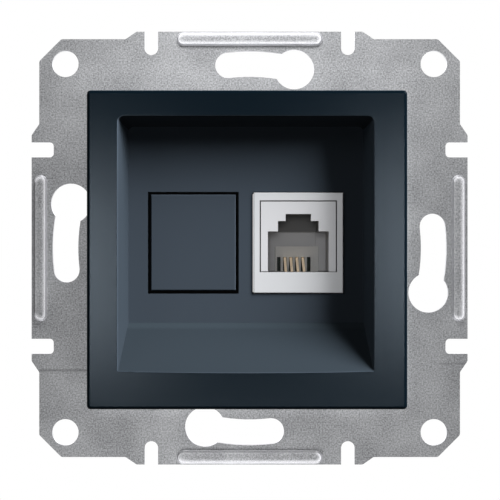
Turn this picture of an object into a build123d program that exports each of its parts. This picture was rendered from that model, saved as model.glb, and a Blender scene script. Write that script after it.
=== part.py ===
from build123d import *
import math
import os

# Flush telephone wall socket. X to the right, Y into the wall, Z up.
# The origin is the centre of the plate on its wall face.
os.makedirs("parts", exist_ok=True)

# Support plate, stamped from one sheet
sheet = 1.0
outline_round = 0.6

# Keyholes for box screws, one a quarter turn from the next
keyhole_circle_r = 30.0
keyhole_round_r = 3.25
keyhole_slot_width = 4.2
keyhole_round_angle = 14.0
keyhole_tail_angle = 6.7

# Outline of the plate, set out from the keyhole circle
edge_margin_x = 5.5
edge_margin_z = 5.25
corner_set_back_x = 1.24
corner_set_back_z = 1.22
corner_cut = 3.6
corner_hole_inset_x = 4.26
corner_hole_inset_z = 4.03
corner_hole_r = 2.15
plate_half_x = keyhole_circle_r + edge_margin_x
plate_half_z = keyhole_circle_r + edge_margin_z
corner_half_x = plate_half_x - corner_set_back_x
corner_half_z = plate_half_z - corner_set_back_z
corner_hole_pitch_x = 2 * (corner_half_x - corner_hole_inset_x)
corner_hole_pitch_z = 2 * (corner_half_z - corner_hole_inset_z)

# Notches and stiffening ribs along the four edges
notch_at = 16.0
notch_width_z = 2.2
notch_depth_z = 3.8
notch_width_x = 2.45
notch_depth_x = 3.6
notch_corner_r = 0.65
notch_to_step = 2.4
step_run = 1.8
notch_to_rib = 4.1
rib_width = 2.2
rib_inset_x = 1.45
rib_inset_z = 1.2
rib_height = 0.55
rib_slope = 28.0
groove_width = 1.3
groove_depth = 0.8
groove_slope = 24.0
step_near = notch_at + notch_to_step
step_far = step_near + step_run
rib_length = 2 * (notch_at - notch_to_rib)
groove_length = rib_length - rib_width + groove_width
rib_at_x = plate_half_x - rib_inset_x
rib_at_z = plate_half_z - rib_inset_z

# The two module bays, side by side in the field of the cover
jack_width = 14.40
jack_height = 16.18
modules_x = -0.615
module_gap = 2.27
aperture_gap = 0.13
blank_gap = 0.5
bay_z = 0.85
bay_clearance = 0.12
aperture_width = jack_width + 2 * aperture_gap
aperture_height = jack_height + 2 * aperture_gap
blank_width = aperture_width - 2 * blank_gap
blank_height = aperture_height - 2 * blank_gap
jack_x = modules_x + (aperture_width + module_gap) / 2
blank_x = modules_x - (aperture_width + module_gap) / 2
jack_z = bay_z

# Telephone jack
jack_front = -4.3
jack_bevel = 0.1
jack_head = 1.29
jack_foot = 3.40
insert_width = 12.37
insert_clearance = 0.12
seam_depth = 0.4
plug_width = 9.82
plug_height = 6.53
step_width = 6.55
step_height = 8.20
latch_width = 4.09
latch_height = 9.33
latch_lip = 1.7
latch_room = 0.5
cavity_back = 8.5
step_back = 7.0
mould_slit = 0.14
mould_slit_depth = 0.6
insert_back = 9.6
housing_back = 10.4
housing_bottom = jack_z - jack_height / 2
housing_top = jack_z + jack_height / 2
insert_bottom = housing_bottom + jack_foot
insert_top = housing_top - jack_head
plug_top = insert_bottom + plug_height
step_top = insert_bottom + step_height
latch_top = insert_bottom + latch_height

# Contact comb and wires, set out from the lower edge of the plug opening
comb_x = jack_x - 0.45
comb_pitch = 1.0
comb_slot = 0.6
comb_front = 7.5
comb_slot_top = insert_bottom + 2.35
comb_top = insert_bottom + 4.14
comb_margin_left = 0.3
comb_margin_right = 1.3
comb_gap = 0.05
base_top = insert_bottom - 0.06
base_bottom = insert_bottom - 2.56
base_front = -2.9
wire = 0.4
wire_run_z = insert_bottom - 1.36
wire_tail_y = 12.0
wire_tip_y = 8.0
wire_tip_z = insert_bottom + 2.09
wire_nose_y = -1.9
wire_nose_r = 0.5
wire_groove_gap = 0.06

# Terminals behind the jack
board_thickness = 1.2
board_edge_gap = 0.1
board_corner_r = 0.5
wire_hole_r = 0.36
terminal_hole_r = 0.55
peg_board_gap = 0.1
block_depth = 7.6
terminal_pitch = 3.4
terminal_z = jack_z
blade_thickness = 0.5
blade_width = 2.4
blade_tail = 0.8
blade_fork = 0.4
blade_mouth = 1.5
blade_tip = 0.3
blade_pocket_gap = 0.05
conductor_slot = 1.3
channel_depth = 5.0
blade_sunk = 1.6
rib_past_blade = 1.4
rib_gap = 0.1
cap_thickness = 1.6
cap_edge_r = 0.3
cap_leg_half = 3.0
cap_leg_in = 0.6
cap_leg_out = 1.2
cap_leg_gap = 0.1
cap_hook = 1.0

# Snap legs of the cover and the plate window that they hook behind
leg_x = 9.0
leg_width = 4.0
leg_z = 19.65
leg_thickness = 1.3
leg_end = 2.4
hook_reach = 1.05
hook_back_gap = 0.05
hook_flat = 0.65
window_gap_x = 0.3
window_gap_z = 0.35
window_corner_r = 1.0
window_half_z = leg_z + window_gap_z

# Module carrier behind the plate
carrier_side_wall = 2.33
carrier_front_gap = 0.1
carrier_back = 8.0
carrier_flange = 1.6
carrier_corner_r = 1.0
flange_overlap = 4.0
carrier_frame = 3.2
boss_r = 1.9
boss_end = 4.6
pilot_gap = 0.03
pilot_end = 4.2
gusset = 1.2
gusset_places = (-13.5, -3.0, 3.0, 13.5)
gusset_end = window_half_z - 1.5
leg_room_x = 1.2
leg_room_z = 4.6
cheek_reach = 2.2
cheek_in = 4.3
cheek_out = 5.9
carrier_half_x = jack_x + jack_width / 2 + bay_clearance + carrier_side_wall
window_half_x = carrier_half_x + window_gap_x
carrier_flange_z = window_half_z + flange_overlap
carrier_bottom = bay_z - jack_height / 2 - carrier_frame
carrier_top = bay_z + jack_height / 2 + carrier_frame

# Screws that hold the carrier to the plate
carrier_screw_x = 15.0
carrier_screw_inset = 1.9
carrier_screw_r = 0.9
carrier_screw_fit = 0.2
carrier_screw_head_r = 1.4
carrier_screw_head = 0.9
carrier_screw_end = 3.9
cross_reach = 0.8
cross_width = 0.35
cross_depth = 0.5
carrier_screw_z = window_half_z + carrier_screw_inset

# Spreading claws and their screws
claw_hub_gap = 0.4
claw_pivot_y = 5.0
claw_pin_r = 1.2
claw_pin_fit = 0.05
claw_pin_end_gap = 0.1
claw_hub_r = 1.6
claw_ear_in = 3.0
claw_ear_out = 4.2
claw_toe = 5.4
claw_eye = 1.4
claw_eye_half = 2.1
claw_slot_gap = 0.3
claw_screw_offset = 1.7
claw_screw_r = 1.25
claw_screw_fit = 0.08
claw_screw_head_r = 2.0
claw_screw_head = 1.3
claw_screw_end = 13.0
claw_screw_edge = 0.25
claw_screw_point = 0.3
driver_slot = 0.6
claw_pivot_x = carrier_half_x + claw_hub_gap + claw_hub_r
claw_screw_x = claw_pivot_x + claw_screw_offset

# Centre cover: its skirt clears the screw heads, and it sits a little left of and below the middle
cover_x = -0.40
cover_z = -0.28
skirt_wall = 1.25
claw_screw_side_gap = 0.5
carrier_screw_side_gap = 0.4
cover_front = -10.0
cover_corner_r = 0.6
cover_rim_r = 0.5
rim_skin = 1.4
rim_left = 4.96
rim_right = 5.36
rim_top = 4.15
rim_bottom = 6.01
recess_bottom_bow = 0.24
recess_corner_r = 0.9
recess_rim_r = 0.3
floor_front = -4.0
floor_skin = 1.4
wall_draft = 1.25
ramp_run = 7.5
tub_wall = 1.3
web = 1.0
web_x = 12.0
web_z = 9.0
cover_half_x = claw_screw_x + claw_screw_head_r + claw_screw_side_gap + skirt_wall - cover_x
cover_half_z = (carrier_screw_z + carrier_screw_head_r + carrier_screw_side_gap + skirt_wall
                - cover_z)
cover_left = cover_x - cover_half_x
cover_right = cover_x + cover_half_x
cover_bottom = cover_z - cover_half_z
cover_top = cover_z + cover_half_z
recess_left = cover_left + rim_left
recess_right = cover_right - rim_right
recess_bottom = cover_bottom + rim_bottom
recess_top = cover_top - rim_top
floor_left = recess_left + wall_draft
floor_right = recess_right - wall_draft
floor_top = recess_top - wall_draft
ramp_foot = recess_bottom + ramp_run
floor_back = floor_front + floor_skin
carrier_front = floor_back + carrier_front_gap


def across(y):
    """Plane across the wall direction at depth y, looking out of the wall."""
    return Plane.XZ.offset(-y)


def block(x0, x1, y0, y1, z0, z1, mode=Mode.ADD):
    """Plain block between two opposite corners."""
    with Locations(((x0 + x1) / 2, (y0 + y1) / 2, (z0 + z1) / 2)):
        Box(abs(x1 - x0), y1 - y0, z1 - z0, mode=mode)


def save(solid, name):
    """Label one piece and write it to its own file."""
    solid.label = name
    export_step(solid, "parts/" + name + ".step")


# Support plate outline, one side after another round the plate
quarter = [
    (step_near, plate_half_z),
    (step_far, corner_half_z),
    (corner_half_x - corner_cut, corner_half_z),
    (corner_half_x, corner_half_z - corner_cut),
    (corner_half_x, step_far),
    (plate_half_x, step_near),
]
lower_right = [(x, -z) for x, z in reversed(quarter)]
lower_left = [(-x, -z) for x, z in quarter]
upper_left = [(-x, z) for x, z in reversed(quarter)]
plate_outline = quarter + lower_right + lower_left + upper_left

keyhole_arcs = []
for turn in range(4):
    round_end = 90 - 90 * turn - keyhole_round_angle
    sweep = keyhole_round_angle + keyhole_tail_angle
    keyhole_arcs.append(CenterArc((0, 0), keyhole_circle_r, round_end, sweep))

with BuildPart() as support_plate:
    with BuildSketch(across(0)):
        with BuildLine():
            Polyline(plate_outline, close=True)
        make_face()
    extrude(amount=sheet)
    fillet(support_plate.edges().filter_by(Axis.Y), outline_round)
    with BuildSketch(across(0)):
        RectangleRounded(2 * window_half_x, 2 * window_half_z, window_corner_r)
        with GridLocations(corner_hole_pitch_x, corner_hole_pitch_z, 2, 2):
            Circle(corner_hole_r)
        with GridLocations(2 * claw_screw_x, 0, 2, 1):
            Circle(claw_screw_r + claw_screw_fit)
        with GridLocations(2 * carrier_screw_x, 2 * carrier_screw_z, 2, 2):
            Circle(carrier_screw_r + carrier_screw_fit)
        for arc in keyhole_arcs:
            SlotArc(arc, keyhole_slot_width)
            with Locations(arc @ 0):
                Circle(keyhole_round_r)
    extrude(amount=sheet, mode=Mode.SUBTRACT)
    with BuildSketch(across(0)):
        with GridLocations(2 * notch_at, 2 * plate_half_z, 2, 2):
            SlotOverall(2 * notch_depth_z, notch_width_z, rotation=90)
        with GridLocations(2 * plate_half_x, 2 * notch_at, 2, 2):
            RectangleRounded(2 * notch_depth_x, notch_width_x, notch_corner_r)
    extrude(amount=sheet, mode=Mode.SUBTRACT)
    for depth, height, slope in ((-sheet / 2, sheet / 2, 0), (-sheet, rib_height, rib_slope)):
        with BuildSketch(across(depth)):
            with GridLocations(0, 2 * rib_at_z, 1, 2):
                SlotOverall(rib_length, rib_width)
            with GridLocations(2 * rib_at_x, 0, 2, 1):
                SlotOverall(rib_length, rib_width, rotation=90)
        extrude(amount=height, taper=slope)
    with BuildSketch(across(0)):
        with GridLocations(0, 2 * rib_at_z, 1, 2):
            SlotOverall(groove_length, groove_width)
        with GridLocations(2 * rib_at_x, 0, 2, 1):
            SlotOverall(groove_length, groove_width, rotation=90)
    extrude(amount=groove_depth, taper=groove_slope, mode=Mode.SUBTRACT)
save(support_plate.part, "support_plate")


def recess_wire(left, right, bottom, top, bow):
    """Outline of the sunken field, whose lower edge bows down by a little."""
    middle = ((left + right) / 2, bottom - bow)
    Polyline((left, bottom), (left, top), (right, top), (right, bottom))
    ThreePointArc((right, bottom), middle, (left, bottom))


def is_recess_corner(edge):
    """True for the two upper corner edges that run from the rim down to the floor."""
    ends = sorted([edge @ 0, edge @ 1], key=lambda point: point.Y)
    spans = abs(ends[0].Y - cover_front) < 0.01 and abs(ends[1].Y - floor_front) < 0.01
    return spans and ends[0].Z > floor_top


# Centre cover: rim, skirt, sunken tub, two apertures and four snap legs
hook_z = leg_z + hook_reach
leg_root = cover_front + rim_skin - 0.2
leg_sunk = 0.6

with BuildPart() as centre_cover:
    with BuildSketch(across(-sheet)):
        with Locations((cover_x, cover_z)):
            RectangleRounded(2 * cover_half_x, 2 * cover_half_z, cover_corner_r)
    extrude(amount=-sheet - cover_front)
    fillet(centre_cover.faces().sort_by(Axis.Y)[0].edges(), cover_rim_r)
    with BuildSketch(across(-sheet)):
        with Locations((cover_x, cover_z)):
            Rectangle(2 * (cover_half_x - skirt_wall), 2 * (cover_half_z - skirt_wall))
    extrude(amount=-sheet - cover_front - rim_skin, mode=Mode.SUBTRACT)
    with BuildSketch(across(cover_front + rim_skin / 2)):
        with BuildLine():
            recess_wire(recess_left - tub_wall, recess_right + tub_wall,
                        recess_bottom - tub_wall, recess_top + tub_wall, 0.01)
        make_face()
    with BuildSketch(across(floor_back)):
        with BuildLine():
            recess_wire(floor_left - tub_wall, floor_right + tub_wall,
                        ramp_foot - tub_wall, floor_top + tub_wall, 0.01)
        make_face()
    loft(ruled=True)
    for side in (-leg_x, leg_x):
        block(side - leg_width / 2, side + leg_width / 2, floor_back - leg_sunk, leg_end,
              leg_z - leg_thickness, leg_z)
        block(side - leg_width / 2, side + leg_width / 2, leg_root, leg_end,
              -leg_z, -leg_z + leg_thickness)
    for end in (-1, 1):
        for side in (-leg_x, leg_x):
            with BuildSketch(Plane.YZ.offset(side - leg_width / 2)):
                with BuildLine():
                    Polyline((hook_back_gap, end * leg_z), (hook_back_gap, end * hook_z),
                             (hook_back_gap + hook_flat, end * hook_z),
                             (leg_end, end * leg_z), close=True)
                make_face()
            extrude(amount=leg_width)
    for side in (-web_x, 0.0, web_x):
        block(side - web / 2, side + web / 2, leg_root, floor_back,
              floor_top + tub_wall / 2, cover_top - skirt_wall / 2)
        block(side - web / 2, side + web / 2, leg_root, floor_front - 1,
              cover_bottom + skirt_wall / 2, recess_bottom)
    for level in (-web_z, web_z):
        block(cover_left + skirt_wall / 2, floor_left - tub_wall / 2, leg_root, floor_back,
              level - web / 2, level + web / 2)
        block(floor_right + tub_wall / 2, cover_right - skirt_wall / 2, leg_root, floor_back,
              level - web / 2, level + web / 2)
    with BuildSketch(across(cover_front)):
        with BuildLine():
            recess_wire(recess_left, recess_right, recess_bottom, recess_top, recess_bottom_bow)
        make_face()
    with BuildSketch(across(floor_front)):
        with BuildLine():
            recess_wire(floor_left, floor_right, ramp_foot, floor_top, 0.01)
        make_face()
    loft(ruled=True, mode=Mode.SUBTRACT)
    corner_boxes = [e for e in centre_cover.edges() if is_recess_corner(e)]
    fillet(corner_boxes, recess_corner_r)
    rim_edges = [e for e in centre_cover.faces().sort_by(Axis.Y)[0].inner_wires()[0].edges()]
    fillet(rim_edges, recess_rim_r)
    with BuildSketch(across(floor_back + 0.5)):
        with Locations((blank_x, bay_z), (jack_x, bay_z)):
            Rectangle(aperture_width, aperture_height)
    extrude(amount=floor_skin + 1.0, mode=Mode.SUBTRACT)
save(centre_cover.part, "centre_cover")

# Blanking plate: front panel with a hollow box behind that snaps into its bay
blank_z = bay_z + 0.05
blank_bevel = 0.12
blank_shoulder = 0.42
blank_box = blank_width - 2 * blank_shoulder
blank_box_z = blank_height - 2 * blank_shoulder
blank_wall = 1.1
blank_end = 4.6
blank_panel = carrier_front - floor_front
blank_slit = 0.7
blank_slit_front = carrier_front + 2.5
catch_back = 1.1
catch_gap = 0.1
catch_rise = 0.65
catch_land = 0.6
hook_half = 2.2

with BuildPart() as blanking_plate:
    with BuildSketch(across(floor_front + blank_panel)):
        with Locations((blank_x, blank_z)):
            Rectangle(blank_width, blank_height)
    extrude(amount=blank_panel)
    chamfer(blanking_plate.faces().sort_by(Axis.Y)[0].edges(), blank_bevel)
    with BuildSketch(across(blank_end)):
        with Locations((blank_x, blank_z)):
            Rectangle(blank_box, blank_box_z)
            Rectangle(blank_box - 2 * blank_wall, blank_box_z - 2 * blank_wall,
                      mode=Mode.SUBTRACT)
    extrude(amount=blank_end - floor_front - blank_panel / 2)
    for end in (-1, 1):
        for side in (-1, 1):
            slit_x = blank_x + side * (hook_half + blank_slit)
            wall_z = blank_z + end * blank_box_z / 2
            block(slit_x - blank_slit / 2, slit_x + blank_slit / 2, blank_slit_front, blank_end,
                  wall_z - blank_wall - 0.2, wall_z + blank_wall + 0.2, mode=Mode.SUBTRACT)
        with BuildSketch(Plane.YZ.offset(blank_x - hook_half)):
            with BuildLine():
                root_z = blank_z + end * (blank_box_z / 2 - catch_gap)
                catch_z = blank_z + end * (blank_box_z / 2 + catch_rise)
                catch_front = catch_back + catch_gap
                Polyline((catch_front, root_z), (catch_front + catch_land / 2, catch_z),
                         (catch_front + 1.5 * catch_land, catch_z), (blank_end - 0.4, root_z),
                         close=True)
            make_face()
        extrude(amount=2 * hook_half)
save(blanking_plate.part, "blanking_plate")


# Jack housing: outer shell, front ledge, rear latch tongue and foot lug
insert_left = jack_x - insert_width / 2
insert_right = jack_x + insert_width / 2
ledge_back = -3.0
pocket_bottom = base_bottom - 0.1
pocket_half = 5.75
tongue_half = 2.2
tongue_slit = 0.5
tongue_front = 1.0
catch_reach = 0.85
lug_reach = 0.8
lug_half = 4.0
lug_front = carrier_back + 0.08
lug_land = 0.5

with BuildPart() as jack_housing:
    with BuildSketch(across(jack_front)):
        with Locations((jack_x, jack_z)):
            Rectangle(jack_width, jack_height)
    extrude(amount=jack_front - housing_back)
    chamfer(jack_housing.faces().sort_by(Axis.Y)[0].edges(), jack_bevel)
    block(insert_left, insert_right, jack_front - 1, housing_back + 1,
          insert_bottom, insert_top, mode=Mode.SUBTRACT)
    block(jack_x - pocket_half, jack_x + pocket_half, ledge_back, housing_back + 1,
          pocket_bottom, insert_bottom + 0.5, mode=Mode.SUBTRACT)
    block(insert_left, insert_right, insert_back, housing_back + 1,
          pocket_bottom, insert_top, mode=Mode.SUBTRACT)
    for side in (-1, 1):
        slit_x = jack_x + side * (tongue_half + tongue_slit / 2)
        block(slit_x - tongue_slit / 2, slit_x + tongue_slit / 2, tongue_front, housing_back + 1,
              insert_top - 1, housing_top + 1, mode=Mode.SUBTRACT)
    with BuildSketch(Plane.YZ.offset(jack_x - tongue_half)):
        with BuildLine():
            Polyline((lug_front, housing_top - 0.2), (lug_front, housing_top + catch_reach),
                     (lug_front + lug_land, housing_top + catch_reach),
                     (housing_back, housing_top - 0.2), close=True)
        make_face()
    extrude(amount=2 * tongue_half)
    with BuildSketch(Plane.YZ.offset(jack_x - lug_half)):
        with BuildLine():
            Polyline((lug_front, housing_bottom + 0.2), (lug_front, housing_bottom - lug_reach),
                     (lug_front + lug_land, housing_bottom - lug_reach),
                     (housing_back, housing_bottom + 0.2), close=True)
        make_face()
    extrude(amount=2 * lug_half)
save(jack_housing.part, "jack_housing")


# Jack insert: the stepped plug opening with shoulders that hold the plug latch
peg_r = 0.6
peg_x = 4.6
peg_z = insert_top - 1.75
peg_reach = 2.6
peg_hole_depth = 3.0
peg_hole_gap = 0.03
tongue_room = 0.8
slot_places = [comb_x + comb_pitch * (place - 2.5) for place in range(6)]
comb_left = slot_places[0] - comb_slot / 2 - comb_margin_left
comb_right = slot_places[5] + comb_slot / 2 + comb_margin_right

with BuildPart() as jack_insert:
    block(insert_left + insert_clearance, insert_right - insert_clearance, jack_front,
          insert_back, insert_bottom, insert_top - insert_clearance)
    with BuildSketch(across(cavity_back)):
        with Locations((jack_x, (insert_bottom + plug_top) / 2)):
            Rectangle(plug_width, plug_top - insert_bottom)
    extrude(amount=cavity_back - jack_front, mode=Mode.SUBTRACT)
    with BuildSketch(across(step_back)):
        with Locations((jack_x, (insert_bottom + step_top) / 2)):
            Rectangle(step_width, step_top - insert_bottom)
        with Locations((jack_x, (insert_bottom + latch_top) / 2)):
            Rectangle(latch_width, latch_top - insert_bottom)
    extrude(amount=step_back - jack_front, mode=Mode.SUBTRACT)
    block(jack_x - step_width / 2, jack_x + step_width / 2, jack_front + latch_lip,
          step_back, step_top - latch_room, latch_top, mode=Mode.SUBTRACT)
    block(comb_left - comb_gap, comb_right + comb_gap, comb_front, insert_back,
          insert_bottom, comb_top, mode=Mode.SUBTRACT)
    block(jack_x + step_width / 2 - mould_slit, jack_x + step_width / 2, cavity_back,
          cavity_back + mould_slit_depth, comb_top, plug_top, mode=Mode.SUBTRACT)
    block(insert_left, insert_right, jack_front, jack_front + seam_depth,
          insert_bottom, insert_bottom + insert_clearance, mode=Mode.SUBTRACT)
    block(jack_x - tongue_half - tongue_room, jack_x + tongue_half + tongue_room,
          tongue_front - 0.4, insert_back, insert_top - 0.9, insert_top, mode=Mode.SUBTRACT)
    with BuildSketch(across(insert_back)):
        with Locations((jack_x - peg_x, peg_z), (jack_x + peg_x, peg_z)):
            Circle(peg_r + peg_hole_gap)
    extrude(amount=peg_hole_depth, mode=Mode.SUBTRACT)
save(jack_insert.part, "jack_insert")


# Contact carrier: base with wire grooves and an upright comb behind the opening
wire_places = [comb_x + comb_pitch * (place - 1.5) for place in range(4)]
groove = wire + 2 * wire_groove_gap

with BuildPart() as contact_carrier:
    block(jack_x - pocket_half + 0.08, jack_x + pocket_half - 0.08, base_front, insert_back,
          base_bottom, base_top)
    block(comb_left, comb_right, comb_front, insert_back, base_top - 0.5, comb_top)
    for x in slot_places:
        block(x - comb_slot / 2, x + comb_slot / 2, comb_front - 1, insert_back + 1,
              base_top, comb_slot_top, mode=Mode.SUBTRACT)
    for x in wire_places:
        block(x - groove / 2, x + groove / 2, base_front - 1, comb_front + 1.0,
              wire_run_z - wire, base_top + 0.01, mode=Mode.SUBTRACT)
        block(x - groove / 2, x + groove / 2, comb_front, insert_back + 1,
              wire_run_z - wire, wire_run_z + wire, mode=Mode.SUBTRACT)
save(contact_carrier.part, "contact_carrier")

# Contact wires: straight run under the opening, nose bend, rising spring finger
finger_slope = math.atan2(wire_tip_z - wire_run_z, wire_tip_y - wire_nose_y)
for bend_try in range(20):
    bend_corner_y = wire_nose_y - wire_nose_r / math.tan(finger_slope / 2)
    finger_slope = math.atan2(wire_tip_z - wire_run_z, wire_tip_y - bend_corner_y)

for number, x in enumerate(wire_places, start=1):
    with BuildPart() as contact_wire:
        with BuildSketch(Plane.YZ.offset(x - wire / 2)):
            with BuildLine():
                FilletPolyline((wire_tail_y, wire_run_z), (bend_corner_y, wire_run_z),
                               (wire_tip_y, wire_tip_z), radius=wire_nose_r)
            trace(line_width=wire)
        extrude(amount=wire)
    save(contact_wire.part, "contact_wire_" + str(number))

# Circuit board between the jack and the wire terminals
board_front = housing_back
board_back = housing_back + board_thickness
board_width = jack_width - 2 * board_edge_gap
board_height = jack_height - 6 * board_edge_gap
terminal_places = [jack_x + terminal_pitch * (place - 1.5) for place in range(4)]

with BuildPart() as circuit_board:
    with BuildSketch(across(board_back)):
        with Locations((jack_x, jack_z)):
            RectangleRounded(board_width, board_height, board_corner_r)
        with Locations([(x, wire_run_z) for x in wire_places]):
            Circle(wire_hole_r, mode=Mode.SUBTRACT)
        with Locations([(x, terminal_z) for x in terminal_places]):
            Circle(terminal_hole_r, mode=Mode.SUBTRACT)
        with Locations((jack_x - peg_x, peg_z), (jack_x + peg_x, peg_z)):
            Circle(peg_r + peg_board_gap, mode=Mode.SUBTRACT)
    extrude(amount=board_thickness)
save(circuit_board.part, "circuit_board")

# Terminal block with four conductor channels and blade pockets
block_back = board_back + block_depth
channel_floor = block_back - channel_depth
blade_back = block_back - blade_sunk
hook_notch_y = (board_back + block_back) / 2
pocket_x = blade_width / 2 + blade_pocket_gap
pocket_z = blade_thickness / 2 + blade_pocket_gap
solder_room = 0.7

with BuildPart() as terminal_block:
    with BuildSketch(across(board_back)):
        with Locations((jack_x, jack_z)):
            Rectangle(board_width, board_height)
    extrude(amount=-block_depth)
    fillet(terminal_block.edges().filter_by(Axis.Y), board_corner_r)
    for x in terminal_places:
        block(x - conductor_slot / 2, x + conductor_slot / 2, channel_floor, block_back + 1,
              jack_z - board_height, jack_z + board_height, mode=Mode.SUBTRACT)
        block(x - pocket_x, x + pocket_x, board_back - 1, block_back + 1,
              terminal_z - pocket_z, terminal_z + pocket_z, mode=Mode.SUBTRACT)
    for end in (-1, 1):
        edge_z = jack_z + end * board_height / 2
        block(jack_x - cap_leg_half - 0.2, jack_x + cap_leg_half + 0.2,
              hook_notch_y - cap_hook - 0.4, hook_notch_y,
              edge_z - cap_leg_in - 0.2, edge_z + cap_leg_in + 0.2, mode=Mode.SUBTRACT)
    block(wire_places[0] - solder_room, wire_places[3] + solder_room, board_back - 1,
          board_back + solder_room, wire_run_z - solder_room, wire_run_z + solder_room,
          mode=Mode.SUBTRACT)
    with BuildSketch(across(board_back + 0.2)):
        with Locations((jack_x - peg_x, peg_z), (jack_x + peg_x, peg_z)):
            Circle(peg_r)
    extrude(amount=board_back + 0.2 - insert_back + peg_reach)
save(terminal_block.part, "terminal_block")

# Cutting terminals: tail through the board, shoulder and slotted fork
half_blade = [
    (blade_tail / 2, board_front - 0.5), (blade_tail / 2, board_back + 0.1),
    (blade_width / 2, board_back + 0.1), (blade_width / 2, blade_back - blade_tip),
    (blade_width / 2 - blade_tip, blade_back), (blade_mouth / 2, blade_back),
    (blade_fork / 2, blade_back - 1.0), (blade_fork / 2, channel_floor - 0.4),
]
blade_outline = half_blade + [(-u, y) for u, y in reversed(half_blade)]

for number, x in enumerate(terminal_places, start=1):
    with BuildPart() as idc_contact:
        with BuildSketch(Plane.XY.offset(terminal_z - blade_thickness / 2)):
            with BuildLine():
                Polyline([(x + u, y) for u, y in blade_outline], close=True)
            make_face()
        extrude(amount=blade_thickness)
    save(idc_contact.part, "idc_contact_" + str(number))

# Terminal cap: pressing ribs, cover plate and two hooked legs
cap_back = block_back + cap_thickness
rib_reach = blade_back - rib_past_blade

with BuildPart() as terminal_cap:
    with BuildSketch(across(cap_back)):
        with Locations((jack_x, jack_z)):
            RectangleRounded(board_width, board_height, board_corner_r)
    extrude(amount=cap_back - block_back)
    fillet(terminal_cap.faces().sort_by(Axis.Y)[-1].edges(), cap_edge_r)
    for x in terminal_places:
        block(x - conductor_slot / 2 + rib_gap, x + conductor_slot / 2 - rib_gap, rib_reach,
              block_back + 0.2, jack_z - board_height / 2 + 3 * rib_gap,
              jack_z + board_height / 2 - 3 * rib_gap)
        block(x - conductor_slot, x + conductor_slot, rib_reach - 1, block_back,
              terminal_z - blade_thickness, terminal_z + blade_thickness, mode=Mode.SUBTRACT)
    for end in (-1, 1):
        edge_z = jack_z + end * board_height / 2
        leg_inner = edge_z - end * cap_leg_in
        leg_outer = edge_z + end * cap_leg_out
        leg_face = edge_z + end * cap_leg_gap
        hook_back = hook_notch_y - cap_leg_gap
        with BuildSketch(Plane.YZ.offset(jack_x - cap_leg_half)):
            with BuildLine():
                Polyline((cap_back, leg_inner), (cap_back, leg_outer),
                         (hook_back - 1.8 * cap_hook, leg_outer),
                         (hook_back - 1.2 * cap_hook, leg_face),
                         (hook_back - cap_hook, leg_inner), (hook_back, leg_inner),
                         (hook_back, leg_face), (block_back + 0.01, leg_face),
                         (block_back + 0.01, leg_inner), close=True)
            make_face()
        extrude(amount=2 * cap_leg_half)
save(terminal_cap.part, "terminal_cap")


# Module carrier: front step in the plate window, rear flange, two bays, claw cheeks
bay_width = jack_width + 2 * bay_clearance
bay_height = jack_height + 2 * bay_clearance
cheek = cheek_out - cheek_in
cheek_root = claw_pivot_x - carrier_half_x + 0.5

with BuildPart() as module_carrier:
    with BuildSketch(across(carrier_back)):
        with Locations((0, (carrier_bottom + carrier_top) / 2)):
            RectangleRounded(2 * carrier_half_x, carrier_top - carrier_bottom, carrier_corner_r)
    extrude(amount=carrier_back - carrier_front)
    with BuildSketch(across(carrier_flange)):
        RectangleRounded(2 * carrier_half_x, 2 * carrier_flange_z, 2 * carrier_corner_r)
        with Locations((-leg_x, leg_z), (leg_x, leg_z), (-leg_x, -leg_z), (leg_x, -leg_z)):
            Rectangle(leg_width + leg_room_x, leg_room_z, mode=Mode.SUBTRACT)
    extrude(amount=carrier_flange)
    for end in (-1, 1):
        for side in (-1, 1):
            with BuildSketch(across(boss_end)):
                with Locations((side * carrier_screw_x, end * carrier_screw_z)):
                    Circle(boss_r)
            extrude(amount=boss_end - carrier_flange / 2)
            with BuildSketch(across(0)):
                with Locations((side * carrier_screw_x, end * carrier_screw_z)):
                    Circle(carrier_screw_r + pilot_gap)
            extrude(amount=-pilot_end, mode=Mode.SUBTRACT)
    for end, reach in ((1, carrier_top), (-1, carrier_bottom)):
        for place in gusset_places:
            with BuildSketch(Plane.YZ.offset(place - gusset / 2)):
                with BuildLine():
                    Polyline((carrier_flange / 2, reach - end), (carrier_back - 0.6, reach - end),
                             (carrier_flange + 1.0, end * gusset_end),
                             (carrier_flange / 2, end * gusset_end), close=True)
                make_face()
            extrude(amount=gusset)
    with BuildSketch(across(carrier_back)):
        with Locations((blank_x, blank_z)):
            Rectangle(blank_box + 2 * bay_clearance, blank_box_z + 2 * bay_clearance)
        with Locations((jack_x, jack_z)):
            Rectangle(bay_width, bay_height)
    extrude(amount=carrier_back - carrier_front, mode=Mode.SUBTRACT)
    with BuildSketch(across(carrier_back)):
        with Locations((blank_x, bay_z)):
            Rectangle(bay_width, bay_height)
    extrude(amount=carrier_back - catch_back, mode=Mode.SUBTRACT)
    for side in (-1, 1):
        for end in (-1, 1):
            with BuildSketch(Plane.XY.offset(end * (cheek_in + cheek_out) / 2 - cheek / 2)):
                with Locations((side * claw_pivot_x, claw_pivot_y)):
                    Circle(cheek_reach)
                with Locations((side * (claw_pivot_x - cheek_root / 2), claw_pivot_y)):
                    Rectangle(cheek_root, 2 * cheek_reach)
                with Locations((side * claw_pivot_x, claw_pivot_y)):
                    Circle(claw_pin_r + claw_pin_fit, mode=Mode.SUBTRACT)
            extrude(amount=cheek)
save(module_carrier.part, "module_carrier")

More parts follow.
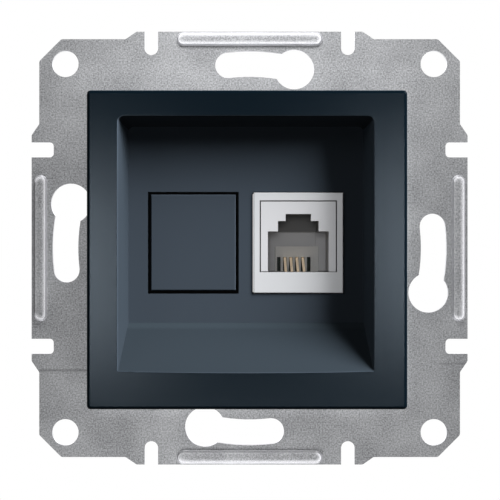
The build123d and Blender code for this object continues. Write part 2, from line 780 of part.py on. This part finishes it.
# Four carrier screws, one solid each
with BuildPart() as carrier_screws:
    for end in (-1, 1):
        for side in (-1, 1):
            with BuildSketch(across(-sheet)):
                with Locations((side * carrier_screw_x, end * carrier_screw_z)):
                    Circle(carrier_screw_head_r)
            extrude(amount=carrier_screw_head)
            with BuildSketch(across(carrier_screw_end)):
                with Locations((side * carrier_screw_x, end * carrier_screw_z)):
                    Circle(carrier_screw_r)
            extrude(amount=carrier_screw_end + sheet)
            with BuildSketch(across(-sheet - carrier_screw_head)):
                with Locations((side * carrier_screw_x, end * carrier_screw_z)):
                    Rectangle(2 * cross_reach, cross_width)
                    Rectangle(cross_width, 2 * cross_reach)
            extrude(amount=-cross_depth, mode=Mode.SUBTRACT)
save(carrier_screws.part, "carrier_screws")

# Spreading claws: two toothed ears joined by the slotted eye, with side pins
claw_profile = [
    (-1.5, 0.3), (-1.5, 8.0), (-0.9, 12.6), (0.6, 14.4), (4.6, 13.6), (3.3, 12.5), (4.0, 11.6),
    (2.9, 10.7), (3.5, 9.8), (2.5, 9.0), (2.4, 2.4), (claw_toe, 1.3), (claw_toe, -1.1), (1.0, -1.4),
]
claw_gap = claw_screw_r + claw_slot_gap
claw_pin_end = cheek_out - claw_pin_end_gap
eye_in = claw_screw_offset - claw_eye_half
eye_out = claw_screw_offset + claw_eye_half + claw_slot_gap

for side, name in ((-1, "left"), (1, "right")):
    with BuildPart() as claw:
        for start in (claw_ear_in, -claw_ear_out):
            with BuildSketch(Plane.XY.offset(start)):
                with BuildLine():
                    Polyline([(side * (claw_pivot_x + u), claw_pivot_y + v)
                              for u, v in claw_profile], close=True)
                make_face()
                with Locations((side * claw_pivot_x, claw_pivot_y)):
                    Circle(claw_hub_r)
            extrude(amount=claw_ear_out - claw_ear_in)
        block(side * (claw_pivot_x - claw_hub_r + 0.3), side * (claw_pivot_x + claw_toe),
              claw_pivot_y - claw_eye / 2, claw_pivot_y + claw_eye / 2, -claw_ear_in, claw_ear_in)
        block(side * (claw_pivot_x + eye_in), side * (claw_pivot_x + eye_out),
              claw_pivot_y - claw_eye, claw_pivot_y + claw_eye, -claw_gap, claw_gap,
              mode=Mode.SUBTRACT)
        for start in (claw_ear_out, -claw_pin_end):
            with BuildSketch(Plane.XY.offset(start)):
                with Locations((side * claw_pivot_x, claw_pivot_y)):
                    Circle(claw_pin_r)
            extrude(amount=claw_pin_end - claw_ear_out)
    save(claw.part, "claw_" + name)

    with BuildPart() as claw_screw:
        with BuildSketch(across(-sheet)):
            with Locations((side * claw_screw_x, 0)):
                Circle(claw_screw_head_r)
        extrude(amount=claw_screw_head)
        chamfer(claw_screw.faces().sort_by(Axis.Y)[0].edges(), claw_screw_edge)
        with BuildSketch(across(claw_screw_end)):
            with Locations((side * claw_screw_x, 0)):
                Circle(claw_screw_r)
        extrude(amount=claw_screw_end + sheet)
        chamfer(claw_screw.faces().sort_by(Axis.Y)[-1].edges(), claw_screw_point)
        with BuildSketch(across(-sheet - claw_screw_head)):
            with Locations((side * claw_screw_x, 0)):
                Rectangle(3 * claw_screw_head_r, driver_slot)
        extrude(amount=-driver_slot, mode=Mode.SUBTRACT)
    save(claw_screw.part, "claw_screw_" + name)
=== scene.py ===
import bpy
import math
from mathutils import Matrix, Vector


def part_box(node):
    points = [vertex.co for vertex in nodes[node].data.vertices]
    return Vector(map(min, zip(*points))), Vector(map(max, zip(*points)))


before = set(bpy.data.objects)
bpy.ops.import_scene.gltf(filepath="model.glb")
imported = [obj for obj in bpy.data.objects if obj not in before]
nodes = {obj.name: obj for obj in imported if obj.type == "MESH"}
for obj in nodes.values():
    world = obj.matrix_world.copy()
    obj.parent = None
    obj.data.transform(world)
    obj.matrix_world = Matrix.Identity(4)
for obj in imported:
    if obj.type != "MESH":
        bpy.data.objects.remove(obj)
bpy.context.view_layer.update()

MM = 0.001
PLATE_FRONT = -1.0 * MM

# Camera place, read from the perspective of the cover: straight on
CAMERA_DISTANCE = 300 * MM
CAMERA_X = 0.065 * MM
CAMERA_Z = -0.31 * MM
FRAME_WIDTH = 81.43 * MM
SENSOR = 36.0


def linear(code):
    """Linear colour of a six-digit screen colour code."""
    values = [int(code[start:start + 2], 16) / 255 for start in (0, 2, 4)]
    return [v / 12.92 if v <= 0.04045 else ((v + 0.055) / 1.055) ** 2.4 for v in values] + [1.0]


class Graph:
    """Short hand for placing and linking the nodes of one tree."""

    def __init__(self, tree):
        self.tree = tree
        self.output = None
        self.placed = 0

    def add(self, kind, settings=None, **inputs):
        """New node with its settings and with a value or a link for each named input."""
        node = self.tree.nodes.new(kind)
        self.placed += 1
        node.location = (220 * (self.placed % 8), -260 * (self.placed // 8))
        for name, value in (settings or {}).items():
            setattr(node, name, value)
        for name, value in inputs.items():
            self.feed(node, name.replace("_", " "), value)
        return node

    def feed(self, node, name, value):
        """Link or set one input, given by its name or by its number as text."""
        socket = node.inputs[int(name)] if name.isdigit() else node.inputs[name]
        if isinstance(value, bpy.types.NodeSocket):
            self.tree.links.new(value, socket)
        else:
            socket.default_value = value

    def maths(self, operation, first, second=0.0):
        node = self.add("ShaderNodeMath", {"operation": operation})
        self.feed(node, "0", first)
        self.feed(node, "1", second)
        return node.outputs[0]

    def times(self, first, second):
        return self.maths("MULTIPLY", first, second)

    def most(self, first, second):
        return self.maths("MAXIMUM", first, second)

    def less(self, value):
        """One less the value: the other side of a mask."""
        return self.maths("SUBTRACT", 1.0, value)

    def parts(self, vector):
        """The X, Y and Z of a vector, by letter."""
        return self.add("ShaderNodeSeparateXYZ", Vector=vector).outputs

    def ramp(self, factor, start, end):
        """Grey that changes evenly between two ends, each a (place, grey)."""
        node = self.add("ShaderNodeValToRGB", Fac=factor)
        for element, (place, grey) in zip(node.color_ramp.elements, (start, end)):
            element.position = place
            element.color = (grey, grey, grey, 1.0)
        return node.outputs["Color"]

    def mix(self, factor, first, second, blend="MIX"):
        """Mix of two colours."""
        node = self.add("ShaderNodeMix", {"data_type": "RGBA", "blend_type": blend})
        self.feed(node, "0", factor)
        self.feed(node, "6", first)
        self.feed(node, "7", second)
        return node.outputs[2]

    def mix_shaders(self, factor, first, second):
        node = self.add("ShaderNodeMixShader")
        for name, value in (("0", factor), ("1", first), ("2", second)):
            self.feed(node, name, value)
        return node.outputs[0]


FLOAT, COLOUR = "NodeSocketFloat", "NodeSocketColor"
COAT_OUTPUTS = (("Color", COLOUR), ("Roughness", FLOAT), ("Height", FLOAT))


def new_group(name, inputs):
    """Empty shader group with named inputs, which gives a colour, a roughness and a height."""
    tree = bpy.data.node_groups.new(name, "ShaderNodeTree")
    for socket, kind, value in inputs:
        item = tree.interface.new_socket(socket, in_out="INPUT", socket_type=kind)
        if value is not None:
            item.default_value = value
    for socket, kind in COAT_OUTPUTS:
        tree.interface.new_socket(socket, in_out="OUTPUT", socket_type=kind)
    graph = Graph(tree)
    source = graph.add("NodeGroupInput")
    sink = graph.add("NodeGroupOutput")
    return graph, source.outputs, sink


def noise(graph, scale, detail, roughness=0.5):
    """Noise in the piece's own coordinates, scale in waves to the metre."""
    place = graph.add("ShaderNodeTexCoord").outputs["Object"]
    return graph.add("ShaderNodeTexNoise", Vector=place, Scale=scale, Detail=detail,
                     Roughness=roughness).outputs["Fac"]


def make_zinc_coat():
    """Speckled zinc: pale grains, fine dark specks and slow tone changes over the sheet."""
    cloud_scale, cloud_weight = 120.0, 0.25
    speck_scale, speck_strength, speck_colour = 1150.0, 0.5, (0.03, 0.03, 0.032, 1)
    smoothest, roughness_span = 0.36, 0.22
    graph, given, sink = new_group(
        "zinc_coat", [("Dark", COLOUR, None), ("Pale", COLOUR, None), ("Grain mm", FLOAT, 0.35)])
    per_grain = graph.maths("DIVIDE", 1000.0, given["Grain mm"])
    grain = noise(graph, per_grain, detail=3.0, roughness=0.65)
    cloud = noise(graph, cloud_scale, detail=2.0)
    tone = graph.maths("ADD", graph.times(grain, 0.8), graph.times(cloud, cloud_weight))
    pale = graph.ramp(tone, (0.37, 0.0), (0.68, 1.0))
    colour = graph.mix(pale, given["Dark"], given["Pale"])
    place = graph.add("ShaderNodeTexCoord").outputs["Object"]
    speck = graph.add("ShaderNodeTexVoronoi", Vector=place, Scale=speck_scale)
    spots = graph.ramp(speck.outputs["Distance"], (0.05, 1.0), (0.16, 0.0))
    spotted = graph.mix(graph.times(spots, speck_strength), colour, speck_colour)
    graph.feed(sink, "Color", spotted)
    graph.feed(sink, "Roughness",
               graph.maths("ADD", smoothest, graph.times(grain, roughness_span)))
    graph.feed(sink, "Height", tone)
    return graph.tree


def make_moulded_skin():
    """Moulded plastic: fine spark texture with a slow shade change."""
    slow_scale = 90.0
    gloss_span = 0.18
    graph, given, sink = new_group(
        "moulded_skin", [("Base", COLOUR, None), ("Grain mm", FLOAT, 0.12),
                         ("Mottle", FLOAT, 0.06), ("Gloss", FLOAT, 0.45)])
    per_grain = graph.maths("DIVIDE", 1000.0, given["Grain mm"])
    grain = noise(graph, per_grain, detail=2.0, roughness=0.6)
    slow = noise(graph, slow_scale, detail=2.0)
    shade = graph.maths("ADD", 1.0, graph.times(graph.maths("SUBTRACT", slow, 0.5),
                                                given["Mottle"]))
    grey = graph.add("ShaderNodeCombineColor")
    for channel in ("Red", "Green", "Blue"):
        graph.feed(grey, channel, shade)
    graph.feed(sink, "Color", graph.mix(1.0, given["Base"], grey.outputs[0], "MULTIPLY"))
    uneven = graph.times(graph.maths("SUBTRACT", grain, 0.5), gloss_span)
    graph.feed(sink, "Roughness", graph.maths("ADD", given["Gloss"], uneven))
    graph.feed(sink, "Height", grain)
    return graph.tree


zinc_coat = make_zinc_coat()
moulded_skin = make_moulded_skin()


def new_material(name):
    """Material with one Principled shader on its output."""
    material = bpy.data.materials.new(name)
    material.use_nodes = True
    material.node_tree.nodes.clear()
    graph = Graph(material.node_tree)
    shader = graph.add("ShaderNodeBsdfPrincipled")
    graph.output = graph.add("ShaderNodeOutputMaterial", Surface=shader.outputs[0])
    return material, graph, shader


def coat(graph, shader, group, relief, **inputs):
    """Dress a shader from a shared group, with a fine relief in mm, and return the colour."""
    skin = graph.add("ShaderNodeGroup", {"node_tree": group}, **inputs).outputs
    bump = graph.add("ShaderNodeBump", Distance=relief * MM, Strength=1.0, Height=skin["Height"])
    graph.feed(shader, "Base Color", skin["Color"])
    graph.feed(shader, "Roughness", skin["Roughness"])
    graph.feed(shader, "Normal", bump.outputs[0])
    return skin["Color"]


def within(graph, value, low, high, soft):
    """Mask that is one where value lies between low and high, with soft edges."""
    smooth = {"interpolation_type": "SMOOTHSTEP"}
    rise = graph.add("ShaderNodeMapRange", smooth, Value=value, From_Min=low - soft,
                     From_Max=low + soft)
    fall = graph.add("ShaderNodeMapRange", smooth, Value=value, From_Min=high - soft,
                     From_Max=high + soft, To_Min=1.0, To_Max=0.0)
    return graph.times(rise.outputs[0], fall.outputs[0])


def box_mask(graph, place, zones, soft):
    """Mask that is one inside a box; zones maps an axis letter to its (low, high) in metres."""
    mask = 1.0
    for axis, (low, high) in zones.items():
        mask = graph.times(mask, within(graph, place[axis], low, high, soft))
    return mask


MOULD_GRAIN, MOULD_RELIEF, ZINC_RELIEF = 0.12, 0.006, 0.012


def moulded(name, code, gloss=0.45, grain=MOULD_GRAIN, mottle=0.06, specular=0.5, patches=()):
    """Moulded plastic of one colour, and of another in each patch:
    (colour, gloss, zones, soft edge, whether the patch is inside the zones)."""
    material, graph, shader = new_material(name)
    base, shine = linear(code), gloss
    if patches:
        place = graph.parts(graph.add("ShaderNodeTexCoord").outputs["Object"])
    for patch_code, patch_gloss, zones, soft, inside in patches:
        mask = box_mask(graph, place, zones, soft)
        if not inside:
            mask = graph.less(mask)
        base = graph.mix(mask, base, linear(patch_code))
        shine = graph.maths("ADD", shine, graph.times(mask, patch_gloss - gloss))
    coat(graph, shader, moulded_skin, MOULD_RELIEF, Base=base, Grain_mm=grain, Mottle=mottle,
         Gloss=shine)
    shader.inputs["Specular IOR Level"].default_value = specular
    return material


# Faint dark lines across the lower lugs: from, to and height in mm, strength
LUG_LINES = ((-34.3, -26.0, -19.9, 0.45), (30.8, 35.4, -18.8, 0.25))
LUG_LINE_HALF = 0.2 * MM
LUG_LINE_COLOUR = "3a3a3c"


def lug_lines(graph, place, colour):
    """Draw the dark lines across the lower lugs on a colour."""
    for left, right, height, strength in LUG_LINES:
        zones = {"X": (left * MM, right * MM),
                 "Z": (height * MM - LUG_LINE_HALF, height * MM + LUG_LINE_HALF)}
        line = box_mask(graph, place, zones, LUG_LINE_HALF)
        colour = graph.mix(graph.times(line, strength), colour, linear(LUG_LINE_COLOUR))
    return colour


RIB_FRONT, RIB_FOOT = PLATE_FRONT - 2 * MM, PLATE_FRONT - 0.1 * MM
RIB_EDGE = 1.1 * MM
RIB_CROWN_RUB_AND_HIGHLIGHT = 0.03
FLANK_TURN = 0.85


def rubbed_and_highlight_mask(graph, place, facing):
    """Mask of the cut edges and the rounded edges of the ribs, where the press rubbed the zinc
    bright and where a highlight is painted.
    The painted highlight on the ribs is weaker on flanks that face left, and on the ribs of the
    lower half on flanks that face up."""
    on_rib = within(graph, place["Y"], RIB_FRONT, RIB_FOOT, 0.05 * MM)
    flank = within(graph, graph.maths("ABSOLUTE", facing["Y"]), -1.0, FLANK_TURN, 0.06)
    # Near an edge the rounded normal turns away from the flat one
    rounded = graph.add("ShaderNodeBevel", {"samples": 6}, Radius=RIB_EDGE).outputs[0]
    flat = graph.add("ShaderNodeNewGeometry").outputs["Normal"]
    turn = graph.add("ShaderNodeVectorMath", {"operation": "DOT_PRODUCT"})
    graph.feed(turn, "0", rounded)
    graph.feed(turn, "1", flat)
    edge = graph.ramp(turn.outputs["Value"], (0.94, 1.0), (0.998, 0.0))
    flank = graph.most(flank, graph.times(edge, on_rib))
    lean = graph.parts(rounded)
    up = graph.times(graph.maths("GREATER_THAN", place["Z"], 0.0), lean["Z"])
    down = graph.times(lean["Z"], -1.0)
    side = graph.most(lean["X"], graph.most(up, down))
    # Painted highlight: full on rib flanks that face right or down, and on the upper half also
    # up; weaker elsewhere on the ribs
    highlight_side = graph.ramp(side, (0.02, 0.2), (0.2, 1.0))
    flank = graph.times(flank, graph.less(graph.times(on_rib, graph.less(highlight_side))))
    return graph.most(flank, graph.times(on_rib, RIB_CROWN_RUB_AND_HIGHLIGHT))


RUBBED_AND_HIGHLIGHT_SHARE, RUBBED_METAL = 0.85, 0.9


def zinc(name, dark, pale, grain=0.35, metallic=0.8, specular=0.5, burnish_and_highlight=None):
    """Zinc coated sheet or wire; the last argument is the paler colour where the press rubbed it
    bright and a highlight is painted.
    """
    material, graph, shader = new_material(name)
    colour = coat(graph, shader, zinc_coat, ZINC_RELIEF, Dark=linear(dark), Pale=linear(pale),
                  Grain_mm=grain)
    shader.inputs["Metallic"].default_value = metallic
    shader.inputs["Specular IOR Level"].default_value = specular
    if burnish_and_highlight:
        coords = graph.add("ShaderNodeTexCoord").outputs
        place, facing = graph.parts(coords["Object"]), graph.parts(coords["Normal"])
        # Paler, more metallic zinc where the press rubbed it, with a painted highlight on the
        # rib flanks and edges
        rubbed_and_highlight = rubbed_and_highlight_mask(graph, place, facing)
        colour = graph.mix(graph.times(rubbed_and_highlight, RUBBED_AND_HIGHLIGHT_SHARE), lug_lines(graph, place, colour),
                           linear(burnish_and_highlight))
        graph.feed(shader, "Base Color", colour)
        graph.feed(shader, "Metallic",
                   graph.maths("ADD", metallic, graph.times(rubbed_and_highlight, RUBBED_METAL - metallic)))
    return material


COVER_LOW, COVER_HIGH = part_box("centre_cover")
ANTHRACITE_SHEEN = 0.02
COOL_TINT = (0.74, 0.87, 1.0, 1.0)
# Painted shade and a painted highlight on one plastic: the ramp, the walls, the rim and the
# outer sides get darker colours than the field, and the fold colour is paler
FIELD, RAMP_SHADE, FOLD_HIGHLIGHT = "444d57", "30383f", "363f46"
SIDE_WALL_SHADE, TOP_WALL_SHADE = "343c44", "14181c"
RIM_SHADE, OUTSIDE_SHADE = "07131b", "18232b"
MATT, POLISH = 0.85, 0.68
COVER_SKIN = 0.6 * MM
FOLD_LOW, FOLD_HIGH = COVER_LOW[2] + 12.6 * MM, COVER_LOW[2] + 13.5 * MM
# Ranges of the normal along one axis: the flat front, the ramp, the top wall and the side walls
TO_FRONT, TO_RAMP = (-1.1, -0.96), (0.45, 0.75)
TO_FLOOR, TO_SIDE = (-1.1, -0.35), (0.8, 1.1)


def cover_plastic():
    """Anthracite cover: polished rim, matt spark texture on the field. Painted shade makes the
    rim, the outer sides, the walls and the ramp darker than the field, and a painted highlight
    makes a paler band where the field meets the ramp."""
    inner = {"X": (COVER_LOW[0] + COVER_SKIN, COVER_HIGH[0] - COVER_SKIN),
             "Z": (COVER_LOW[2] + COVER_SKIN, COVER_HIGH[2] - COVER_SKIN)}
    material, graph, shader = new_material("cover_anthracite")
    coords = graph.add("ShaderNodeTexCoord").outputs
    place, facing = graph.parts(coords["Object"]), graph.parts(coords["Normal"])
    front = within(graph, place["Y"], COVER_LOW[1] - 1 * MM, COVER_LOW[1] + 0.3 * MM, 0.1 * MM)
    flat = within(graph, facing["Y"], *TO_FRONT, 0.02)
    # Painted shade: the flat front of the rim and the outer sides get darker colours than the
    # field of the same plastic
    outside = graph.less(box_mask(graph, place, inner, 0.1 * MM))
    rim = graph.times(front, graph.most(flat, outside))
    # Painted highlight: a paler band on the ramp's foot, where it meets the field
    fold_highlight = within(graph, place["Z"], FOLD_LOW, FOLD_HIGH, 0.3 * MM)
    # Painted shade: the ramp, the top wall and the side walls, picked out by the way they face,
    # are darker than the field
    ramp = within(graph, facing["Z"], *TO_RAMP, 0.05)
    top_wall_shade = within(graph, facing["Z"], *TO_FLOOR, 0.05)
    side_wall_shade = within(graph, graph.maths("ABSOLUTE", facing["X"]), *TO_SIDE, 0.05)
    base = graph.mix(ramp, linear(FIELD), graph.mix(fold_highlight, linear(RAMP_SHADE), linear(FOLD_HIGHLIGHT)))
    for mask, code in ((side_wall_shade, SIDE_WALL_SHADE), (top_wall_shade, TOP_WALL_SHADE), (outside, OUTSIDE_SHADE),
                       (rim, RIM_SHADE)):
        base = graph.mix(mask, base, linear(code))
    shine = graph.maths("SUBTRACT", MATT, graph.times(rim, POLISH))
    coat(graph, shader, moulded_skin, MOULD_RELIEF, Base=base, Grain_mm=MOULD_GRAIN, Gloss=shine)
    shader.inputs["Specular IOR Level"].default_value = ANTHRACITE_SHEEN
    shader.inputs["Specular Tint"].default_value = COOL_TINT
    return material


# Behind the two upper steps of the plug opening the insert has its own hollow, darkened by
# painted shade; the rest of the plug cavity has a lighter painted shade
INSERT_LOW, INSERT_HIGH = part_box("jack_insert")
PAST = 1 * MM
STEP_HOLLOW_Z = 2.69 * MM
PAINTED_CAVITY_SHADE, PAINTED_HOLLOW_SHADE = "b2b2b4", "666666"
plug_cavity = {"Y": (INSERT_LOW[1] + 1 * MM, INSERT_HIGH[1] + PAST)}
step_hollow = {"Y": (INSERT_LOW[1] + 0.1 * MM, INSERT_HIGH[1] + PAST),
               "Z": (STEP_HOLLOW_Z, INSERT_HIGH[2] + PAST)}

# Painted shade in the seam round the insert
SEAM, SEAM_EDGE = 0.12 * MM, 0.04 * MM
SEAM_SHADE = "3a3a3c"
DULL = 0.6
insert_face = {"X": (INSERT_LOW[0] + SEAM_EDGE, INSERT_HIGH[0] - SEAM_EDGE),
               "Z": (INSERT_LOW[2] + SEAM_EDGE, INSERT_HIGH[2] - SEAM_EDGE)}
insert_bay = {"X": (INSERT_LOW[0] - SEAM - SEAM_EDGE, INSERT_HIGH[0] + SEAM + SEAM_EDGE),
              "Z": (INSERT_LOW[2] - SEAM_EDGE, INSERT_HIGH[2] + SEAM + SEAM_EDGE)}
# Painted shade along the seam, on the housing and on the insert's edge
housing_patches = [(SEAM_SHADE, DULL, insert_bay, 0.01 * MM, True)]
# Painted shade in the plug cavity and behind its steps, and in the seam at the insert's edge
insert_patches = [(PAINTED_CAVITY_SHADE, DULL, plug_cavity, 0.5 * MM, True),
                  (PAINTED_HOLLOW_SHADE, DULL, step_hollow, 0.03 * MM, True),
                  (SEAM_SHADE, DULL, insert_face, 0.01 * MM, False)]

contact_wires = ["contact_wire_%d" % count for count in range(1, 5)]
idc_contacts = ["idc_contact_%d" % count for count in range(1, 5)]
finishes = [
    (zinc("plate_zinc", "5e5f61", "a6a7a9", grain=0.25, metallic=0.15, specular=0.25,
          burnish_and_highlight="e6e6ea"), ["support_plate"]),
    (zinc("screw_zinc", "a9a9ac", "cfcfd2", grain=0.2),
     ["carrier_screws", "claw_screw_left", "claw_screw_right"]),
    (zinc("claw_zinc", "8f8f92", "b9b9bc"), ["claw_left", "claw_right"]),
    (zinc("spring_bronze", "dcc09c", "f6e4c8", grain=0.2, metallic=0.1), contact_wires),
    (zinc("tinned_bronze", "a8a08c", "d2cbb8", grain=0.2), idc_contacts),
    (cover_plastic(), ["centre_cover"]),
    (moulded("blank_anthracite", FIELD, gloss=MATT, specular=ANTHRACITE_SHEEN),
     ["blanking_plate"]),
    (moulded("jack_silver", "c1c3c6", gloss=0.42, patches=housing_patches), ["jack_housing"]),
    (moulded("insert_silver", "c1c2c5", gloss=0.42, patches=insert_patches), ["jack_insert"]),
    (moulded("comb_grey", "e4e4e2", gloss=0.5), ["contact_carrier"]),
    (moulded("board_green", "143c24", gloss=0.35, grain=0.6, mottle=0.3), ["circuit_board"]),
    (moulded("block_grey", "d4d4ce"), ["terminal_block"]),
    (moulded("cap_grey", "c6cace", gloss=0.3), ["terminal_cap"]),
    (moulded("carrier_black", "080a0d", gloss=0.6, specular=0.1), ["module_carrier"]),
]
for finish, names in finishes:
    for name in names:
        mesh = nodes[name].data
        mesh.materials.clear()
        mesh.materials.append(finish)


def in_plain_view(graph):
    """One for what the camera sees itself, mirrored or through glass; zero for stray light."""
    path = graph.add("ShaderNodeLightPath").outputs
    return graph.most(path["Is Camera Ray"],
                      graph.most(path["Is Glossy Ray"], path["Is Transmission Ray"]))


# Pale floor well below the socket, out of the straight view; it throws little light back up,
# and from below it is see-through
FLOOR_Z = -260 * MM
FLOOR_HALF = 300 * MM
FLOOR_SEEN, FLOOR_THROWN = (0.86, 0.86, 0.87, 1), (0.08, 0.08, 0.08, 1)
floor_mesh = bpy.data.meshes.new("pale_floor")
floor_mesh.from_pydata([(-FLOOR_HALF, -FLOOR_HALF, FLOOR_Z), (FLOOR_HALF, -FLOOR_HALF, FLOOR_Z),
                        (FLOOR_HALF, FLOOR_HALF, FLOOR_Z), (-FLOOR_HALF, FLOOR_HALF, FLOOR_Z)],
                       [], [(0, 1, 2, 3)])
floor = bpy.data.objects.new("pale_floor", floor_mesh)
bpy.context.scene.collection.objects.link(floor)
floor_material, paint, floor_shader = new_material("pale_floor")
paint.feed(floor_shader, "Base Color",
           paint.mix(in_plain_view(paint), FLOOR_THROWN, FLOOR_SEEN))
paint.feed(floor_shader, "Roughness", 0.9)
from_below = paint.add("ShaderNodeNewGeometry").outputs["Backfacing"]
see_through = paint.add("ShaderNodeBsdfTransparent").outputs[0]
paint.feed(paint.output, "Surface",
           paint.mix_shaders(from_below, floor_shader.outputs[0], see_through))
floor_mesh.materials.append(floor_material)

# World: white to the camera and in what metal and gloss mirror, a plain grey to everything else
SKY_SEEN, SKY_THROWN = (1, 1, 1, 1), (0.012, 0.0124, 0.0136, 1)
world = bpy.data.worlds.new("studio")
bpy.context.scene.world = world
world.use_nodes = True
world.node_tree.nodes.clear()
sky = Graph(world.node_tree)
plain = sky.add("ShaderNodeBackground", Color=SKY_THROWN, Strength=1.0)
white = sky.add("ShaderNodeBackground", Color=SKY_SEEN, Strength=1.0)
sky.add("ShaderNodeOutputWorld",
        Surface=sky.mix_shaders(in_plain_view(sky), plain.outputs[0], white.outputs[0]))


def soft_lamp(name, toward, distance, width, height, power, lit=None, shading=None,
              aim=(0.0, 0.0, 0.0), mirrored_only=False):
    """Soft box in one direction from the point that it looks at, unseen by the camera.
    It lights only the pieces in lit, with shadows only from those in shading."""
    lamp = bpy.data.lights.new(name, "AREA")
    lamp.shape = "RECTANGLE"
    lamp.size = width
    lamp.size_y = height
    lamp.energy = power
    holder = bpy.data.objects.new(name, lamp)
    holder.visible_camera = False
    holder.visible_diffuse = not mirrored_only
    direction = Vector(toward).normalized()
    holder.location = Vector(aim) + direction * distance
    holder.rotation_euler = direction.to_track_quat("Z", "Y").to_euler()
    bpy.context.scene.collection.objects.link(holder)
    for pieces, use, place in ((lit, "_lit", "receiver_collection"),
                               (shading, "_casters", "blocker_collection")):
        if pieces is not None:
            group = bpy.data.collections.new(name + use)
            for piece in pieces:
                group.objects.link(piece)
            setattr(holder.light_linking, place, group)


plate_names = ["support_plate", "carrier_screws", "claw_left", "claw_right",
               "claw_screw_left", "claw_screw_right"]
plate_pieces = [nodes[name] for name in plate_names]
jack_pieces = [nodes["jack_housing"], nodes["jack_insert"]]
comb = [nodes["contact_carrier"]]
wires = [nodes[name] for name in contact_wires]
cover = [nodes["centre_cover"]]
front_pieces = [piece for piece in nodes.values() if piece not in plate_pieces + comb + wires]

# Key and fill from the upper corners
soft_lamp("key_upper_right", toward=(2.1, -1.0, 1.85), distance=0.5, width=0.22, height=0.36,
          power=8.0, lit=front_pieces)
soft_lamp("fill_upper_left", toward=(-1.6, -1.0, 0.9), distance=0.5, width=0.2, height=0.2,
          power=0.27, lit=front_pieces)

# The plate, without the shadow of the cover
soft_lamp("plate_right", toward=(0.8, -1.0, -0.2), distance=0.3, width=0.15, height=0.15,
          power=0.32, lit=plate_pieces, shading=plate_pieces)
soft_lamp("plate_top", toward=(0.0, -0.5, 1.0), distance=0.09, width=0.05, height=0.02,
          power=0.094, lit=plate_pieces, shading=plate_pieces)
soft_lamp("plate_low", toward=(-0.15, -0.5, -1.0), distance=0.09, width=0.05, height=0.02,
          power=0.05, lit=plate_pieces, shading=plate_pieces)

# Light into the jack
for name, pieces, power in (("jack_fill", jack_pieces, 0.36), ("comb_fill", comb, 0.2),
                            ("wire_fill", wires, 2.6)):
    soft_lamp(name, toward=(0.0, -1.0, 0.05), distance=0.4, width=0.06, height=0.06,
              power=power, lit=pieces)

# Strips that the polished rim of the cover mirrors
for name, across, up in (("strip_left", -0.056, -0.007), ("strip_right", 0.056, 0.0)):
    soft_lamp(name, toward=(across, -0.30, up), distance=0.31, width=0.035, height=0.06,
              power=0.9, lit=cover, mirrored_only=True)
soft_lamp("strip_low", toward=(0.0, -0.30, -0.062), distance=0.31, width=0.09, height=0.02,
          power=0.16, lit=cover, mirrored_only=True)

# Light thrown on the plate by the glossy sides of the cover
for name, x, z, width, height, power in (
        ("glint_top", 0.0, COVER_HIGH[2] + 2.6 * MM, 56 * MM, 5 * MM, 0.00027),
        ("glint_low", 0.0, COVER_LOW[2] - 1.1 * MM, 50 * MM, 0.6 * MM, 0.0001),
        ("glint_right", COVER_HIGH[0] + 0.3 * MM, 0.0, 0.6 * MM, 50 * MM, 0.00016)):
    soft_lamp(name, toward=(0.0, -1.0, 0.0), distance=1.2 * MM, width=width, height=height,
              power=power, lit=plate_pieces, aim=(x, PLATE_FRONT, z))

# Floor and back
soft_lamp("floor_light", toward=(0.3, -0.4, 1.0), distance=0.7, width=0.4, height=0.4,
          power=9.0, lit=[floor])
soft_lamp("back_left", toward=(-0.8, 1.0, 0.5), distance=0.6, width=0.3, height=0.3, power=1.7)
soft_lamp("back_right", toward=(0.8, 1.0, 0.7), distance=0.6, width=0.3, height=0.3, power=1.7)

# Camera
camera_data = bpy.data.cameras.new("photo_camera")
camera_data.sensor_width = SENSOR
camera_data.lens = SENSOR * CAMERA_DISTANCE / FRAME_WIDTH
camera_data.clip_start = 0.01
camera = bpy.data.objects.new("photo_camera", camera_data)
camera.location = (CAMERA_X, PLATE_FRONT - CAMERA_DISTANCE, CAMERA_Z)
camera.rotation_euler = (math.radians(90), 0, 0)
bpy.context.scene.collection.objects.link(camera)
bpy.context.scene.camera = camera
bpy.context.scene.view_settings.view_transform = "Standard"
